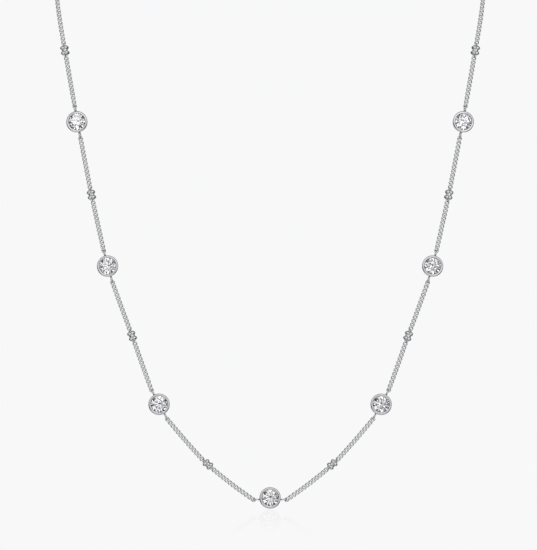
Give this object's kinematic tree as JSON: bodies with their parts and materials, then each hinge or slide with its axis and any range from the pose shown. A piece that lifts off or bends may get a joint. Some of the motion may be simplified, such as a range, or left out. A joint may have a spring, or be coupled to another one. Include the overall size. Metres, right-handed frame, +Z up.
{
  "type": "station necklace",
  "caption": "Fine silver-coloured curb chain with round bezel-set stones and small bead clusters between them, held in the form in which it is worn.",
  "frame": {"origin": "middle of the clasp at the nape, where the necklace rests on the neck", "axes": "+X to the viewer's right as the necklace is seen from the front, -Y to the front, +Z up"},
  "size_m": [0.1084, 0.0538, 0.1571],
  "materials": {
    "silver": "polished, rhodium plated",
    "crystal": "polished facets"
  },
  "bodies": {
    "root": {"bezel_middle": "silver", "bezel_left_1": "silver", "bezel_left_2": "silver", "bezel_left_3": "silver", "bezel_right_1": "silver", "bezel_right_2": "silver", "bezel_right_3": "silver", "stone_middle": "crystal", "stone_left_1": "crystal", "stone_left_2": "crystal", "stone_left_3": "crystal", "stone_right_1": "crystal", "stone_right_2": "crystal", "stone_right_3": "crystal", "cluster_left_1": "silver", "cluster_left_2": "silver", "cluster_left_3": "silver", "cluster_left_4": "silver", "cluster_right_1": "silver", "cluster_right_2": "silver", "cluster_right_3": "silver", "cluster_right_4": "silver", "chain_left_1": "silver", "chain_left_2": "silver", "chain_left_3": "silver", "chain_left_4": "silver", "chain_left_5": "silver", "chain_left_6": "silver", "chain_left_7": "silver", "chain_left_8": "silver", "chain_right_1": "silver", "chain_right_2": "silver", "chain_right_3": "silver", "chain_right_4": "silver", "chain_right_5": "silver", "chain_right_6": "silver", "chain_right_7": "silver", "chain_right_8": "silver", "clasp": "silver", "end_ring": "silver"}
  },
  "joints": []
}
